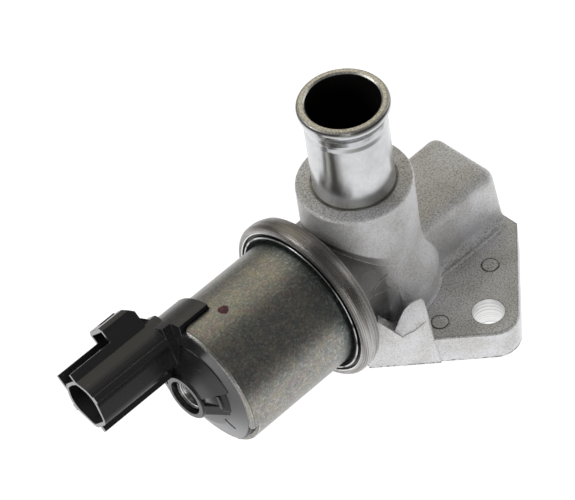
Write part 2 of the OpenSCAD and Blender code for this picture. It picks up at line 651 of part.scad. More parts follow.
module connector_cap() color([0.1, 0.1, 0.12]) difference() {
    groove_w = 2.1;
    bore = core_spigot + 0.3;
    // the sloping shoulder that joins the boss to the connector, as angles from the connector
    shoulder_end = -108;
    shoulder_turn = 96;
    shoulder_r = 13.4;
    // the wedge under the boss
    wedge_angle = -140;
    wedge_w = 3.4;
    wedge_r = 11.6;
    moat_depth = 1.5;
    moat_w = 1.6;
    moat_turn = 16;
    slit_angle = -170;
    slit_w = 0.6;
    slit_len = 3.6;
    slit_r = 10.6;
    slit_depth = 0.8;
    flat_drop = 12.6;
    union() {
        difference() {
            turned([[bore, cap_back], [can_in - slip, cap_back],
                [can_in - slip, seal_x - groove_w / 2], [can_in - 2 * seal_wire, seal_x - groove_w / 2],
                [can_in - 2 * seal_wire, seal_x + groove_w / 2], [can_in - slip, seal_x + groove_w / 2],
                [can_in - slip, cap_face - 1.3], [can_in - 0.5, cap_face - 0.9], [wedge_r, cap_face],
                [bore, cap_face]]);
            // flat below the boss, where the rim is cut away
            translate([seal_x + groove_w, -can_r, axis_h - flat_drop - can_r]) cube([can_r, can_d, can_r]);
        }
        turned([[boss_hole_r, cap_face - 1], [boss_r, cap_face - 1], [boss_r, boss_end - 0.4],
            [boss_r - 0.4, boss_end], [boss_hole_r, boss_end]]);
        intersection() {
            turned([[shoulder_r, cap_face - 0.7], [shoulder_r, cap_face - 0.1],
                [boss_r - 0.2, boss_end - 0.6], [boss_hole_r + 0.5, boss_end - 0.6], [boss_hole_r + 0.5, cap_face - 0.7]]);
            tube_sector(cap_face - over, boss_end, 1, shoulder_r + 1, shoulder_end + shoulder_turn / 2, shoulder_turn);
        }
        // wedge that runs from the boss's lower side out to the cap's face
        clocked() rotate([wedge_angle, 0, 0]) rotate([90, 0, 0]) translate([0, 0, -wedge_w / 2]) linear_extrude(wedge_w)
            polygon([[cap_face - 1, boss_r - 1], [boss_end - 0.6, boss_r - 1], [boss_end - 0.6, boss_r - 0.1],
                [cap_face, wedge_r], [cap_face - 1, wedge_r]]);
        tube_sector(notch_x + 0.3, seal_x + 2, can_in, hump_r, 0, notch_angle - 1.5);
        tube_sector(seal_x + groove_w / 2, can_end + 0.2, can_in - 1.2, hump_r, 0, notch_angle - 1.5);
        tube_sector(can_end, hump_end, boss_hole_r + 2, hump_r, 0, 50);
        connector_shell();
        lock_bridge();
    }
    along_x(cap_back - over) cylinder(h = boss_end, r = bore);
    along_x(cap_face) cylinder(h = boss_end, r = boss_hole_r);
    clocked() across_x(socket_floor, socket_depth + over) translate([conn_mid, 0]) socket_outline(conn_wall);
    terminal_strip(-1, 0.02);
    terminal_strip(1, 0.02);
    // moat between the boss's shoulder and its foot, and a slit in the cap's face
    tube_sector(cap_face - moat_depth, cap_face + over, boss_r + 0.5, boss_r + 0.5 + moat_w,
        shoulder_end - 2 - moat_turn / 2, moat_turn);
    clocked() rotate([slit_angle, 0, 0]) translate([cap_face - slit_depth, -slit_w / 2, slit_r])
        cube([slit_depth + over, slit_w, slit_len]);
}

valve_housing();
hose_nipple();
seat_ring();
poppet();
rod_clip();
valve_rod();
front_bush();
housing_o_ring();
base_plate();
balance_spring();
solenoid_can();
can_collar();
guide_sleeve();
coil_bobbin();
coil_winding();
armature();
return_spring();
pole_core();
rear_yoke();
adjuster_screw();
cap_seal();
connector_cap();
terminal_left();
terminal_right();
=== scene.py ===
import math

import bmesh
import bpy
from mathutils import Matrix, Vector
from mathutils.bvhtree import BVHTree


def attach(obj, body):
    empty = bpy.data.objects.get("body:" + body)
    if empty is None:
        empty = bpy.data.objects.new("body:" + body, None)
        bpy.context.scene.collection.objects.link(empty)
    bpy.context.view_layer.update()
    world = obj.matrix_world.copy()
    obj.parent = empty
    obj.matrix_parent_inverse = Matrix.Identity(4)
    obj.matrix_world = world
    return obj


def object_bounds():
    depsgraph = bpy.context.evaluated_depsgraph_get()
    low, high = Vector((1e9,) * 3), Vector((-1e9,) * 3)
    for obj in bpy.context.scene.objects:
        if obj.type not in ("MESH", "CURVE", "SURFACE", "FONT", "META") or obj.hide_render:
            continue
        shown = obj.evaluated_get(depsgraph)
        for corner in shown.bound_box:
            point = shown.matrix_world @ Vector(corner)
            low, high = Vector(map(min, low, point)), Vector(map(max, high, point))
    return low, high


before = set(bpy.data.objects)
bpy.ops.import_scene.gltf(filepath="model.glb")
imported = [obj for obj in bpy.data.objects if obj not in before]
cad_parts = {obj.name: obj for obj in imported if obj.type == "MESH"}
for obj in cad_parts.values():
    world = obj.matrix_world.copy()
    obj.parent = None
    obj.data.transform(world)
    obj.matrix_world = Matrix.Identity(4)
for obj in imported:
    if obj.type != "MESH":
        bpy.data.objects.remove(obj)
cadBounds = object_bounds()
mm = 0.001
print("frame loaded:", len(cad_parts), "nodes")

# the photograph was taken from above and in front, with the camera rolled a little
view = {
    "place": (0.4123, 0.4967, 0.7129),
    "target": (0.01874, -0.0083, 0.0304),
    "roll": -9.591,
    "lens": 226.1,
    "sensor": 36.0,
    "reach": 20,
}


def makeCamera():
    data = bpy.data.cameras.new("viewCamera")
    data.lens = view["lens"]
    data.sensor_width = view["sensor"]
    data.sensor_fit = "HORIZONTAL"
    data.clip_end = view["reach"]
    camera = bpy.data.objects.new("viewCamera", data)
    bpy.context.scene.collection.objects.link(camera)
    look = Vector(view["target"]) - Vector(view["place"])
    turn = look.to_track_quat("-Z", "Y").to_matrix().to_4x4()
    roll = Matrix.Rotation(math.radians(view["roll"]), 4, "Z")
    camera.matrix_world = Matrix.Translation(view["place"]) @ turn @ roll
    bpy.context.scene.camera = camera


makeCamera()
print("camera set")


# a socket of a shader tree that adds, subtracts and multiplies like a number
class Wire:
    def __init__(self, finish, socket):
        self.finish = finish
        self.socket = socket

    def maths(self, operation, *values):
        return self.finish.node("ShaderNodeMath", {"operation": operation}, dict(enumerate(values)))

    def __add__(self, other):
        return self.maths("ADD", self, other)

    __radd__ = __add__

    def __mul__(self, other):
        return self.maths("MULTIPLY", self, other)

    __rmul__ = __mul__

    def __sub__(self, other):
        return self.maths("SUBTRACT", self, other)

    def __rsub__(self, other):
        return self.maths("SUBTRACT", other, self)

    def __pow__(self, other):
        return self.maths("POWER", self, other)

    def __abs__(self):
        return self.maths("ABSOLUTE", self)


# one node tree and the few nodes that every finish is made of
class Finish:
    def __init__(self, owner):
        owner.use_nodes = True
        self.tree = owner.node_tree
        self.tree.nodes.clear()

    def node(self, kind, settings=None, values=None, output=0):
        made = self.tree.nodes.new(kind)
        for name, value in (settings or {}).items():
            setattr(made, name, value)
        for name, value in (values or {}).items():
            if isinstance(value, Wire):
                self.tree.links.new(value.socket, made.inputs[name])
            elif value is not None:
                made.inputs[name].default_value = value
        return Wire(self, made.outputs[output]) if made.outputs else made

    def place(self):
        return self.node("ShaderNodeTexCoord", output="Object")

    # one of a vector's three numbers: 0 is x, 1 is y and 2 is z
    def part(self, vector, axis):
        return self.node("ShaderNodeSeparateXYZ", values={0: vector}, output=axis)

    def axes(self):
        vector = self.place()
        return [self.part(vector, axis) for axis in range(3)]

    def join(self, x, y, z):
        return self.node("ShaderNodeCombineXYZ", values={0: x, 1: y, 2: z})

    def dot(self, first, second):
        settings = {"operation": "DOT_PRODUCT"}
        return self.node("ShaderNodeVectorMath", settings, {0: first, 1: second}, "Value")

    def noise(self, scale, detail=3, rough=0.55, at=None, twist=0.0):
        values = {"Vector": at or self.place(), "Scale": scale, "Detail": detail}
        values.update({"Roughness": rough, "Distortion": twist})
        return self.node("ShaderNodeTexNoise", values=values)

    # noise with a scale of its own in each direction, which x, y and z already hold
    def lines(self, x, y=0, z=0, detail=3, rough=0.6):
        return self.noise(1.0, detail, rough, self.join(x, y, z))

    def cells(self, scale):
        return self.node("ShaderNodeTexVoronoi", values={"Vector": self.place(), "Scale": scale})

    # 0 at low, 1 at high and smooth between them, also where low is the greater
    def step(self, value, low, high):
        settings = {"interpolation_type": "SMOOTHSTEP"}
        values = {"Value": value, "From Min": low, "From Max": high}
        return self.node("ShaderNodeMapRange", settings, values)

    def clamp(self, value):
        return self.node("ShaderNodeClamp", values={0: value})

    def mix(self, mask, first, second):
        colours = [(*c, 1) if isinstance(c, tuple) else c for c in (first, second)]
        return self.node("ShaderNodeMix", {"data_type": "RGBA"}, {0: mask, 6: colours[0], 7: colours[1]}, 2)

    def soft(self, radius):
        return self.node("ShaderNodeBevel", {"samples": 6}, {"Radius": radius})

    # 0 on flat ground, towards 1 on a corner that the soft normal rounds
    def corner(self, softNormal):
        true = self.node("ShaderNodeNewGeometry", output="True Normal")
        return self.step(1 - self.dot(softNormal, true), 0.005, 0.12)

    def bump(self, height, depth, normal=None):
        values = {"Strength": 1.0, "Distance": depth, "Height": height, "Normal": normal}
        return self.node("ShaderNodeBump", values=values)

    def surface(self, **values):
        named = {name.replace("_", " "): value for name, value in values.items()}
        for name, value in named.items():
            if isinstance(value, tuple):
                named[name] = (*value, 1)
        shader = self.node("ShaderNodeBsdfPrincipled", values=named)
        self.node("ShaderNodeOutputMaterial", values={"Surface": shader})


def makeMaterial(name):
    material = bpy.data.materials.new(name)
    return material, Finish(material)


# a white table in a dim room, with one large warm screen high behind the object
studio = {
    "tableColour": (0.86, 0.86, 0.86),
    "tableGlow": 0.93,
    "tableLight": 1.14,
    "tableReach": 6,
    "tableGap": 0.2 * mm,
    "tableFront": (0.135, 0.075),
    "tableBack": (-0.22, -0.11),
    "shade": (80 * mm, -14 * mm),
    "shadeReach": (8 * mm, 25 * mm),
    "shadeDepth": 0.7,
    "horizon": (0.60, 0.60, 0.61),
    "horizonHeight": (0.06, 0.0),
    "horizonFront": (0.6, 0.1),
    "room": (0.125, 0.125, 0.125),
    "screen": (0.80, 0.755, 0.635),
    "screenPlace": (-0.46, -0.58, 0.67),
    "screenEdge": (0.74, 0.985),
    "lamps": [
        ("keyLamp", (0.62, -0.50, 0.62), 0.45, 2.5),
        ("fillLamp", (0.75, 0.85, 0.22), 0.50, 2.0),
        ("rearLamp", (-0.85, 0.25, 0.30), 0.45, 1.0),
    ],
    "lampTarget": (0.02, 0, 0.03),
}


def makeRoom():
    world = bpy.data.worlds.new("studioRoom")
    bpy.context.scene.world = world
    finish = Finish(world)
    direction = finish.node("ShaderNodeTexCoord", output="Generated")
    towards = finish.dot(direction, studio["screenPlace"])
    colour = finish.mix(finish.step(towards, *studio["screenEdge"]), studio["room"], studio["screen"])
    height, front = finish.part(direction, 2), finish.part(direction, 1)
    belt = finish.step(height, *studio["horizonHeight"]) * finish.step(front, *studio["horizonFront"])
    colour = finish.mix(belt, colour, studio["horizon"])
    light = finish.node("ShaderNodeBackground", values={"Color": colour, "Strength": 1.0})
    finish.node("ShaderNodeOutputWorld", values={"Surface": light})


def makeTable():
    mesh = bpy.data.meshes.new("floor")
    shape = bmesh.new()
    bmesh.ops.create_grid(shape, x_segments=1, y_segments=1, size=studio["tableReach"])
    bmesh.ops.translate(shape, verts=shape.verts, vec=(0, 0, cadBounds[0].z - studio["tableGap"]))
    shape.to_mesh(mesh)
    shape.free()
    floor = bpy.data.objects.new("floor", mesh)
    bpy.context.scene.collection.objects.link(floor)
    material, finish = makeMaterial("floorPaper")
    camera = finish.node("ShaderNodeLightPath", output="Is Camera Ray")
    glossy = finish.node("ShaderNodeLightPath", output="Is Glossy Ray")
    through = finish.node("ShaderNodeLightPath", output="Is Transmission Ray")
    paper = finish.node("ShaderNodeBsdfDiffuse", values={"Color": (*studio["tableColour"], 1)})
    values = {"Color": (1, 1, 1, 1), "Strength": studio["tableLight"]}
    glow = finish.node("ShaderNodeEmission", values=values)
    # mirrored in the metal, the white sheet ends in front and behind, and is dimmer under the connector
    x, y, z = finish.axes()
    sheet = finish.step(y, *studio["tableFront"])
    sheet = sheet * finish.step(y, *studio["tableBack"])
    dx, dy = x - studio["shade"][0], y - studio["shade"][1]
    away = (dx * dx + dy * dy) ** 0.5
    shade = finish.step(away, *studio["shadeReach"]) * studio["shadeDepth"] + (1 - studio["shadeDepth"])
    share = (camera + glossy * sheet * shade + through) * studio["tableGlow"]
    both = finish.node("ShaderNodeMixShader", values={0: share, 1: paper, 2: glow})
    finish.node("ShaderNodeOutputMaterial", values={"Surface": both})
    mesh.materials.append(material)


def makeLamps():
    for name, place, size, power in studio["lamps"]:
        data = bpy.data.lights.new(name, "AREA")
        data.shape = "DISK"
        data.size = size
        data.energy = power
        lamp = bpy.data.objects.new(name, data)
        look = Vector(studio["lampTarget"]) - Vector(place)
        lamp.matrix_world = Matrix.Translation(place) @ look.to_track_quat("-Z", "Y").to_matrix().to_4x4()
        bpy.context.scene.collection.objects.link(lamp)


makeRoom()
makeTable()
makeLamps()
bpy.context.scene.view_settings.view_transform = "Standard"
print("studio lit")

# what the finishes need to know of the part
axisHeight = 20.2 * mm
flangeTop = 9.1 * mm
connectorTurn = 46


# station along the solenoid, and distance from its axis
def fromAxis(finish):
    x, y, z = finish.axes()
    up = z - axisHeight
    return x, (y * y + up * up) ** 0.5


# distance from an upright line through a point of the plan
def fromPole(finish, centre):
    x, y, z = finish.axes()
    dx, dy = x - centre[0] * mm, y - centre[1] * mm
    return (dx * dx + dy * dy) ** 0.5


cast = {
    "light": (0.90, 0.90, 0.925),
    "dark": (0.71, 0.70, 0.68),
    "pit": (0.13, 0.125, 0.11),
    "turned": (0.47, 0.455, 0.45),
    "stain": (0.14, 0.125, 0.11),
    "neck": (0.22, 0.215, 0.205),
    "corner": (0.90, 0.895, 0.88),
    "burr": (0.07, 0.065, 0.055),
    "hole": (0.96, 0.96, 0.96),
    "soft": 0.55 * mm,
    "depth": 0.30 * mm,
    "grain": 2300,
    "coarse": 1000,
    "pits": 1150,
    "ragged": 420,
    "cloud": 95,
    "ringFront": (17.9 * mm, 18.5 * mm),
    "ringInside": (18.6 * mm, 19.4 * mm),
    "lipRadius": 21.75 * mm,
    "lipLine": (0.22 * mm, 0.08 * mm),
    "shadeBehindRingLength": (3 * mm, 9 * mm),
    "shadeBehindRingOutside": (18.6 * mm, 18.0 * mm),
    "shadeBehindRingHeight": (12 * mm, 19 * mm),
    "boltHoles": [(-11.526, 32.597), (-11.526, -24.961)],
    "holeEdge": (4.44 * mm, 4.38 * mm),
    "pinMarks": [(-23.8, 21.8), (-0.8, 25.3)],
    "pinRadius": 2.3 * mm,
    "pinLine": (0.22 * mm, 0.06 * mm),
    "pinHeight": (0.25 * mm, 0.1 * mm),
    "milledFace": (0.12 * mm, 0.02 * mm),
    "millCentre": (70, 90),
    "lowEdge": (0.75 * mm, 0.2 * mm),
    "highEdge": (0.35 * mm, 0.12 * mm),
    "edgeDrop": 0.15 * mm,
}


def castAlloy():
    material, finish = makeMaterial("castAlloy")
    softNormal = finish.soft(cast["soft"])
    corner = finish.corner(softNormal)
    up = finish.part(softNormal, 2)
    x, radius = fromAxis(finish)
    _, y, height = finish.axes()
    # sand grain, its pits, and the larger clouds that blasting leaves
    grain = finish.noise(cast["grain"], 3, 0.8)
    coarse = finish.noise(cast["coarse"], 3, 0.6)
    ragged = finish.noise(cast["ragged"], 4, 0.7)
    cloud = finish.noise(cast["cloud"], 3, 0.55)
    pits = finish.step(finish.cells(cast["pits"]), 0.24, 0.06)
    # dark pits are thicker on faces that look up, so these come out darker
    peppered = finish.step(up, 0.2, 0.9) * 0.35 + 0.22
    # the rolled ring and the holes are turned, the mounting face is milled
    ring = finish.step(x, *cast["ringFront"]) * finish.step(radius, *cast["ringInside"])
    holes, marks = 0, 0
    for centre in cast["boltHoles"]:
        holes = holes + finish.step(fromPole(finish, centre), *cast["holeEdge"])
    for centre in cast["pinMarks"]:
        marks = marks + finish.step(abs(fromPole(finish, centre) - cast["pinRadius"]), *cast["pinLine"])
    marks = marks * finish.step(abs(height - flangeTop), *cast["pinHeight"])
    under = finish.step(height, *cast["milledFace"])
    machined = finish.clamp(ring + holes + under)
    sandy = 1 - machined
    arcs = finish.lines(fromPole(finish, cast["millCentre"]) * 2600, detail=2, rough=0.5)
    turning = finish.lines(x * 4600, radius * 4600, rough=0.65)
    streaks = finish.lines(x * 1300, radius * 1300, (y + height) * 60)
    rifling = finish.lines(height * 3600, detail=2, rough=0.5)
    # a dark ragged line runs along the flange's lower and upper edges
    lowEdge = finish.step(height, *cast["lowEdge"]) * (1 - under)
    highEdge = finish.step(abs(height - flangeTop + cast["edgeDrop"]), *cast["highEdge"]) * corner
    burr = lowEdge * finish.step(ragged, 0.44, 0.60) + highEdge * finish.step(ragged, 0.30, 0.46) * 1.3
    # painted shade on the barrel behind the ring, where the ring and the tower shade it
    neck = finish.step(x, *cast["shadeBehindRingLength"]) * finish.step(radius, *cast["shadeBehindRingOutside"])
    neck = neck * finish.step(height, *cast["shadeBehindRingHeight"])

    colour = finish.mix(finish.step(cloud, 0.34, 0.66), cast["dark"], cast["light"])
    colour = finish.mix(finish.step(grain, 0.46, 0.60) * 0.5 * sandy, colour, cast["light"])
    colour = finish.mix(finish.step(grain, 0.51, 0.40) * peppered * sandy, colour, cast["pit"])
    colour = finish.mix(pits * 0.16 * sandy, colour, cast["pit"])
    # painted shade behind the ring
    colour = finish.mix(neck * (0.75 + cloud * 0.3), colour, cast["neck"])
    colour = finish.mix(machined * 0.9, colour, cast["turned"])
    # painted shade on the ring's faces that look up; the worn streaks after it are stains
    colour = finish.mix(ring * finish.step(up, 0.0, 0.75) * 0.55, colour, cast["stain"])
    worn = finish.step(turning * 0.6 + streaks * 0.4, 0.42, 0.58)
    colour = finish.mix(ring * worn * 0.85, colour, cast["stain"])
    # painted highlight along the crest of the ring's lip
    lip = ring * finish.step(abs(radius - cast["lipRadius"]), *cast["lipLine"])
    colour = finish.mix(lip * finish.step(ragged, 0.3, 0.5), colour, cast["corner"])
    # painted light: the bolt holes' walls are near white, as if lit by the floor below, with turned rifling
    # lines
    wall = finish.mix(finish.step(rifling, 0.52, 0.62), cast["hole"], cast["turned"])
    colour = finish.mix(holes, colour, wall)
    # the corners are lightened, partly edge wear and partly a painted highlight
    colour = finish.mix(corner * finish.step(coarse, 0.30, 0.55) * 0.7, colour, cast["corner"])
    colour = finish.mix(finish.clamp(burr * (1 - holes)) * 0.85, colour, cast["burr"])
    colour = finish.mix(marks * finish.step(ragged, 0.30, 0.5) * 0.85, colour, cast["pit"])
    sand = grain * 0.8 + coarse * 0.6 - pits * 0.4
    tool = ring * turning * 0.45 + holes * rifling * 0.6 + under * arcs * 0.6
    relief = sand * (1 - machined * 0.85) + tool - marks * 1.2
    finish.surface(
        Base_Color=colour,
        Metallic=0.92,
        Roughness=0.40 + grain * 0.16 - machined * 0.12 - ring * 0.12,
        Normal=finish.bump(relief, cast["depth"], softNormal),
    )
    return material


tube = {
    "bright": (0.66, 0.67, 0.685),
    "dull": (0.54, 0.545, 0.56),
    "end": (0.88, 0.86, 0.79),
    "endGrainAndFootReflection": (0.50, 0.48, 0.42),
    "endEdge": (0.16, 0.155, 0.14),
    "inside": (0.05, 0.048, 0.045),
    "soft": 0.25 * mm,
    "depth": 0.025 * mm,
    "speckle": 2200,
    "smear": 110,
    "endHeight": (75.35 * mm, 75.65 * mm),
    "boreEdge": (9.90 * mm, 9.77 * mm),
    "rimRadius": (11.5 * mm, 11.95 * mm),
    "rimHeight": (74.6 * mm, 75.0 * mm),
    "footReflectionHeight": (52.5 * mm, 47.5 * mm),
}


def brightTube():
    material, finish = makeMaterial("brightTube")
    softNormal = finish.soft(tube["soft"])
    radius = fromPole(finish, (0, 0))
    x, y, height = finish.axes()
    end = finish.step(height, *tube["endHeight"])
    inside = finish.step(radius, *tube["boreEdge"]) * (1 - end)
    rings = finish.lines(height * 3300, radius * 900)
    drawn = finish.lines(x * 1500, y * 1500, height * 60)
    speckle = finish.noise(tube["speckle"], 3, 0.7)
    smear = finish.noise(tube["smear"], 3, 0.6)
    colour = finish.mix(finish.step(smear, 0.35, 0.7), tube["bright"], tube["dull"])
    colour = finish.mix(finish.step(speckle, 0.42, 0.66) * 0.55, colour, tube["dull"])
    endGrain = finish.mix(finish.step(speckle, 0.38, 0.62), tube["endGrainAndFootReflection"], tube["end"])
    colour = finish.mix(end, colour, endGrain)
    edge = finish.step(radius, *tube["rimRadius"]) * finish.step(height, *tube["rimHeight"])
    colour = finish.mix(edge * 0.85, colour, tube["endEdge"])
    # painted reflection: the foot of the tube is darkened where it mirrors the casting's boss
    colour = finish.mix(finish.step(height, *tube["footReflectionHeight"]) * 0.6, colour, tube["endGrainAndFootReflection"])
    # painted shade: the bore inside the tube is near black
    colour = finish.mix(inside, colour, tube["inside"])
    relief = rings * 0.30 + drawn * 0.25 + speckle * (0.45 + end * 0.6)
    finish.surface(
        Base_Color=colour,
        Metallic=0.97,
        Roughness=0.10 + smear * 0.10 + speckle * 0.12 + end * 0.22 + inside * 0.3,
        Normal=finish.bump(relief, tube["depth"], softNormal),
    )
    return material


can = {
    "zinc": (0.27, 0.285, 0.275),
    "warm": (0.36, 0.345, 0.285),
    "rose": (0.33, 0.27, 0.275),
    "cool": (0.15, 0.195, 0.19),
    "dark": (0.05, 0.05, 0.048),
    "bright": (0.62, 0.615, 0.60),
    "edge": (0.80, 0.795, 0.78),
    "soft": 0.4 * mm,
    "depth": 0.045 * mm,
    "fine": 2500,
    "grain": 1300,
    "tint": 520,
    "patch": 330,
    "rim": 60.4 * mm,
    "trimA": 0.9 * mm,
    "trimB": 1.7 * mm,
    "trimLineA": (0.16 * mm, 0.04 * mm),
    "trimLineB": (0.12 * mm, 0.03 * mm),
    "coolEnd": (31 * mm, 24 * mm),
    "groove": (19.2 * mm, 19.5 * mm),
}


def platedCan():
    material, finish = makeMaterial("platedCan")
    softNormal = finish.soft(can["soft"])
    corner = finish.corner(softNormal)
    x, radius = fromAxis(finish)
    fine = finish.noise(can["fine"], 3, 0.7)
    grain = finish.noise(can["grain"], 4, 0.65)
    patch = finish.noise(can["patch"], 4, 0.65)
    tint = finish.noise(can["tint"], 3, 0.6, twist=0.4)
    colour = finish.mix(finish.step(patch, 0.38, 0.62), can["zinc"], can["warm"])
    colour = finish.mix(finish.step(tint, 0.50, 0.64) * 0.8, colour, can["rose"])
    colour = finish.mix(finish.step(x, *can["coolEnd"]) * 0.8, colour, can["cool"])
    colour = finish.mix(finish.step(grain, 0.50, 0.62) * 0.45, colour, can["bright"])
    colour = finish.mix(finish.step(fine, 0.52, 0.38) * 0.38, colour, can["dark"])
    # two fine lines that the trimming tool leaves beside the rim
    trim = finish.step(abs(x - can["rim"] + can["trimA"]), *can["trimLineA"])
    trim = trim + finish.step(abs(x - can["rim"] + can["trimB"]), *can["trimLineB"]) * 0.6
    colour = finish.mix(trim * finish.step(grain, 0.3, 0.5) * 0.6, colour, can["dark"])
    # painted highlight along the can's corners
    colour = finish.mix(corner * 0.85, colour, can["edge"])
    # painted shade in the groove round the can's foot
    colour = finish.mix(finish.step(radius, *can["groove"]) * 0.9, colour, can["dark"])
    drawn = finish.lines(x * 260, radius * 900, finish.noise(300, 2) * 3)
    relief = grain * 0.7 + fine * 0.7 + drawn * 0.2 - trim * 0.8
    finish.surface(
        Base_Color=colour,
        Metallic=0.94,
        Roughness=0.27 + grain * 0.10 + patch * 0.06 - corner * 0.06,
        Normal=finish.bump(relief, can["depth"], softNormal),
    )
    return material


plastic = {
    "black": (0.013, 0.013, 0.014),
    "scuffed": (0.028, 0.028, 0.032),
    "dusty": (0.048, 0.048, 0.050),
    "corner": (0.20, 0.20, 0.215),
    "soft": 0.3 * mm,
    "depth": 0.015 * mm,
    "fine": 2600,
    "flow": 140,
    "dust": 420,
    "face": (62.5 * mm, 64.5 * mm),
    "lit": (25 * mm, 7 * mm),
    "rootLength": (73 * mm, 71 * mm),
    "rootHeight": (25 * mm, 27 * mm),
    "rootRadius": (17.5 * mm, 16.5 * mm),
    "polish": (0.92, 0.93, 1.0),
}


def blackPlastic():
    material, finish = makeMaterial("blackPlastic")
    softNormal = finish.soft(plastic["soft"])
    sharp = finish.step(finish.corner(softNormal), 0.35, 1.0)
    x, radius = fromAxis(finish)
    height = finish.axes()[2]
    facing, up = finish.part(softNormal, 0), finish.part(softNormal, 2)
    fine = finish.noise(plastic["fine"], 3, 0.6)
    flow = finish.noise(plastic["flow"], 4, 0.6, twist=0.6)
    dust = finish.step(finish.cells(plastic["dust"]), 0.075, 0.04)
    colour = finish.mix(finish.step(flow, 0.4, 0.75) * 0.6, plastic["black"], plastic["scuffed"])
    # faces that look up are a little greyer
    colour = finish.mix(finish.step(up, 0.35, 0.95), colour, plastic["dusty"])
    # the painted highlight along sharp corners is left off at the connector's root, which is blended, so
    # its creases stay black
    root = finish.step(x, *plastic["rootLength"]) * finish.step(height, *plastic["rootHeight"])
    root = root * finish.step(radius, *plastic["rootRadius"])
    colour = finish.mix(sharp * (1 - root) * finish.step(fine, 0.3, 0.55) * 0.8, colour, plastic["corner"])
    colour = finish.mix(dust * 0.6, colour, plastic["corner"])
    # faces that look out of the solenoid's end are polished by the mould; on the others the coat grows
    # towards the bottom, a painted sheen where the lower face is lit
    outer = finish.step(x, *plastic["face"])
    low = finish.step(height, *plastic["lit"]) * 0.65 + 0.35
    finish.surface(
        Base_Color=colour,
        Metallic=0.0,
        Roughness=0.2 + flow * 0.12 + dust * 0.2,
        IOR=1.45,
        Coat_Weight=finish.step(facing, 0.80, 0.97) * (outer + (1 - outer) * low),
        Coat_Roughness=0.22,
        Coat_IOR=3.0,
        Coat_Tint=plastic["polish"],
        Normal=finish.bump(fine * 0.5 + flow * 0.5, plastic["depth"], softNormal),
    )
    return material


collar = {
    "dark": (0.055, 0.055, 0.053),
    "crest": (0.62, 0.62, 0.63),
    "crestStart": (23.81 * mm, 23.99 * mm),
    "soft": 0.15 * mm,
    "depth": 0.01 * mm,
    "crestNoise": 260,
}


# the collar is painted dark in its groove as shade, with a painted highlight along its crest
def collarShadeAndHighlight():
    material, finish = makeMaterial("collarShadeAndHighlight")
    x, radius = fromAxis(finish)
    crestNoise = finish.noise(collar["crestNoise"], 3, 0.6)
    turning = finish.lines(x * 5200, radius * 5200)
    crest = finish.step(x, *collar["crestStart"]) * finish.step(crestNoise, 0.3, 0.55)
    finish.surface(
        Base_Color=finish.mix(crest, collar["dark"], collar["crest"]),
        Metallic=1.0,
        Roughness=0.34 - crest * 0.14 + turning * 0.08,
        Normal=finish.bump(turning, collar["depth"], finish.soft(collar["soft"])),
    )
    return material


# the finishes that are plain metal or moulding: grain and turned are scales, depth is that of the bump
plainSoft = 0.2 * mm
plainFinishes = {
    "brass": {
        "light": (0.72, 0.55, 0.26), "dark": (0.50, 0.36, 0.15), "metallic": 1.0,
        "rough": 0.24, "grain": 900, "turned": 4200, "depth": 0.02 * mm,
    },
    "spring_steel": {
        "light": (0.60, 0.60, 0.61), "dark": (0.36, 0.36, 0.37), "metallic": 1.0,
        "rough": 0.25, "grain": 1300, "turned": 900, "depth": 0.02 * mm,
    },
    "ground_steel": {
        "light": (0.88, 0.88, 0.89), "dark": (0.72, 0.72, 0.73), "metallic": 1.0,
        "rough": 0.14, "grain": 1500, "turned": 6000, "depth": 0.01 * mm,
    },
    "seal_rubber": {
        "light": (0.030, 0.030, 0.032), "dark": (0.014, 0.014, 0.015), "metallic": 0.0,
        "rough": 0.55, "grain": 1200, "turned": 0, "depth": 0.04 * mm,
    },
    "soft_iron": {
        "light": (0.76, 0.755, 0.74), "dark": (0.52, 0.515, 0.50), "metallic": 1.0,
        "rough": 0.24, "grain": 1100, "turned": 4600, "depth": 0.03 * mm,
    },
    "bobbin_plastic": {
        "light": (0.055, 0.055, 0.058), "dark": (0.030, 0.030, 0.032), "metallic": 0.0,
        "rough": 0.42, "grain": 1400, "turned": 0, "depth": 0.03 * mm,
    },
    "magnet_wire": {
        "light": (0.55, 0.20, 0.07), "dark": (0.32, 0.10, 0.035), "metallic": 0.8,
        "rough": 0.28, "grain": 700, "turned": 2600, "depth": 0.12 * mm,
    },
    "tinned_contact": {
        "light": (0.78, 0.77, 0.74), "dark": (0.60, 0.59, 0.56), "metallic": 1.0,
        "rough": 0.22, "grain": 1500, "turned": 0, "depth": 0.01 * mm,
    },
}


def plainFinish(slotName):
    plain = plainFinishes[slotName]
    words = slotName.split("_")
    material, finish = makeMaterial(words[0] + "".join(word.title() for word in words[1:]))
    softNormal = finish.soft(plainSoft)
    grain = finish.noise(plain["grain"], 4, 0.65)
    patch = finish.noise(plain["grain"] / 7, 3, 0.5)
    relief = grain
    if plain["turned"]:
        x, radius = fromAxis(finish)
        relief = grain * 0.4 + finish.lines(x * plain["turned"], radius * plain["turned"]) * 0.8
    mask = finish.step(grain * 0.5 + patch * 0.5, 0.35, 0.65)
    finish.surface(
        Base_Color=finish.mix(mask, plain["dark"], plain["light"]),
        Metallic=plain["metallic"],
        Roughness=patch * 0.1 + grain * 0.08 + (plain["rough"] - 0.05),
        Normal=finish.bump(relief, plain["depth"], softNormal),
    )
    return material


richFinishes = {
    "cast_alloy": castAlloy,
    "bright_tube": brightTube,
    "plated_can": platedCan,
    "black_plastic": blackPlastic,
    "bright_ring": collarShadeAndHighlight,
}
madeFinishes = {}


def finishFor(slotName):
    if slotName not in madeFinishes:
        rich = richFinishes.get(slotName)
        madeFinishes[slotName] = rich() if rich else plainFinish(slotName)
    return madeFinishes[slotName]


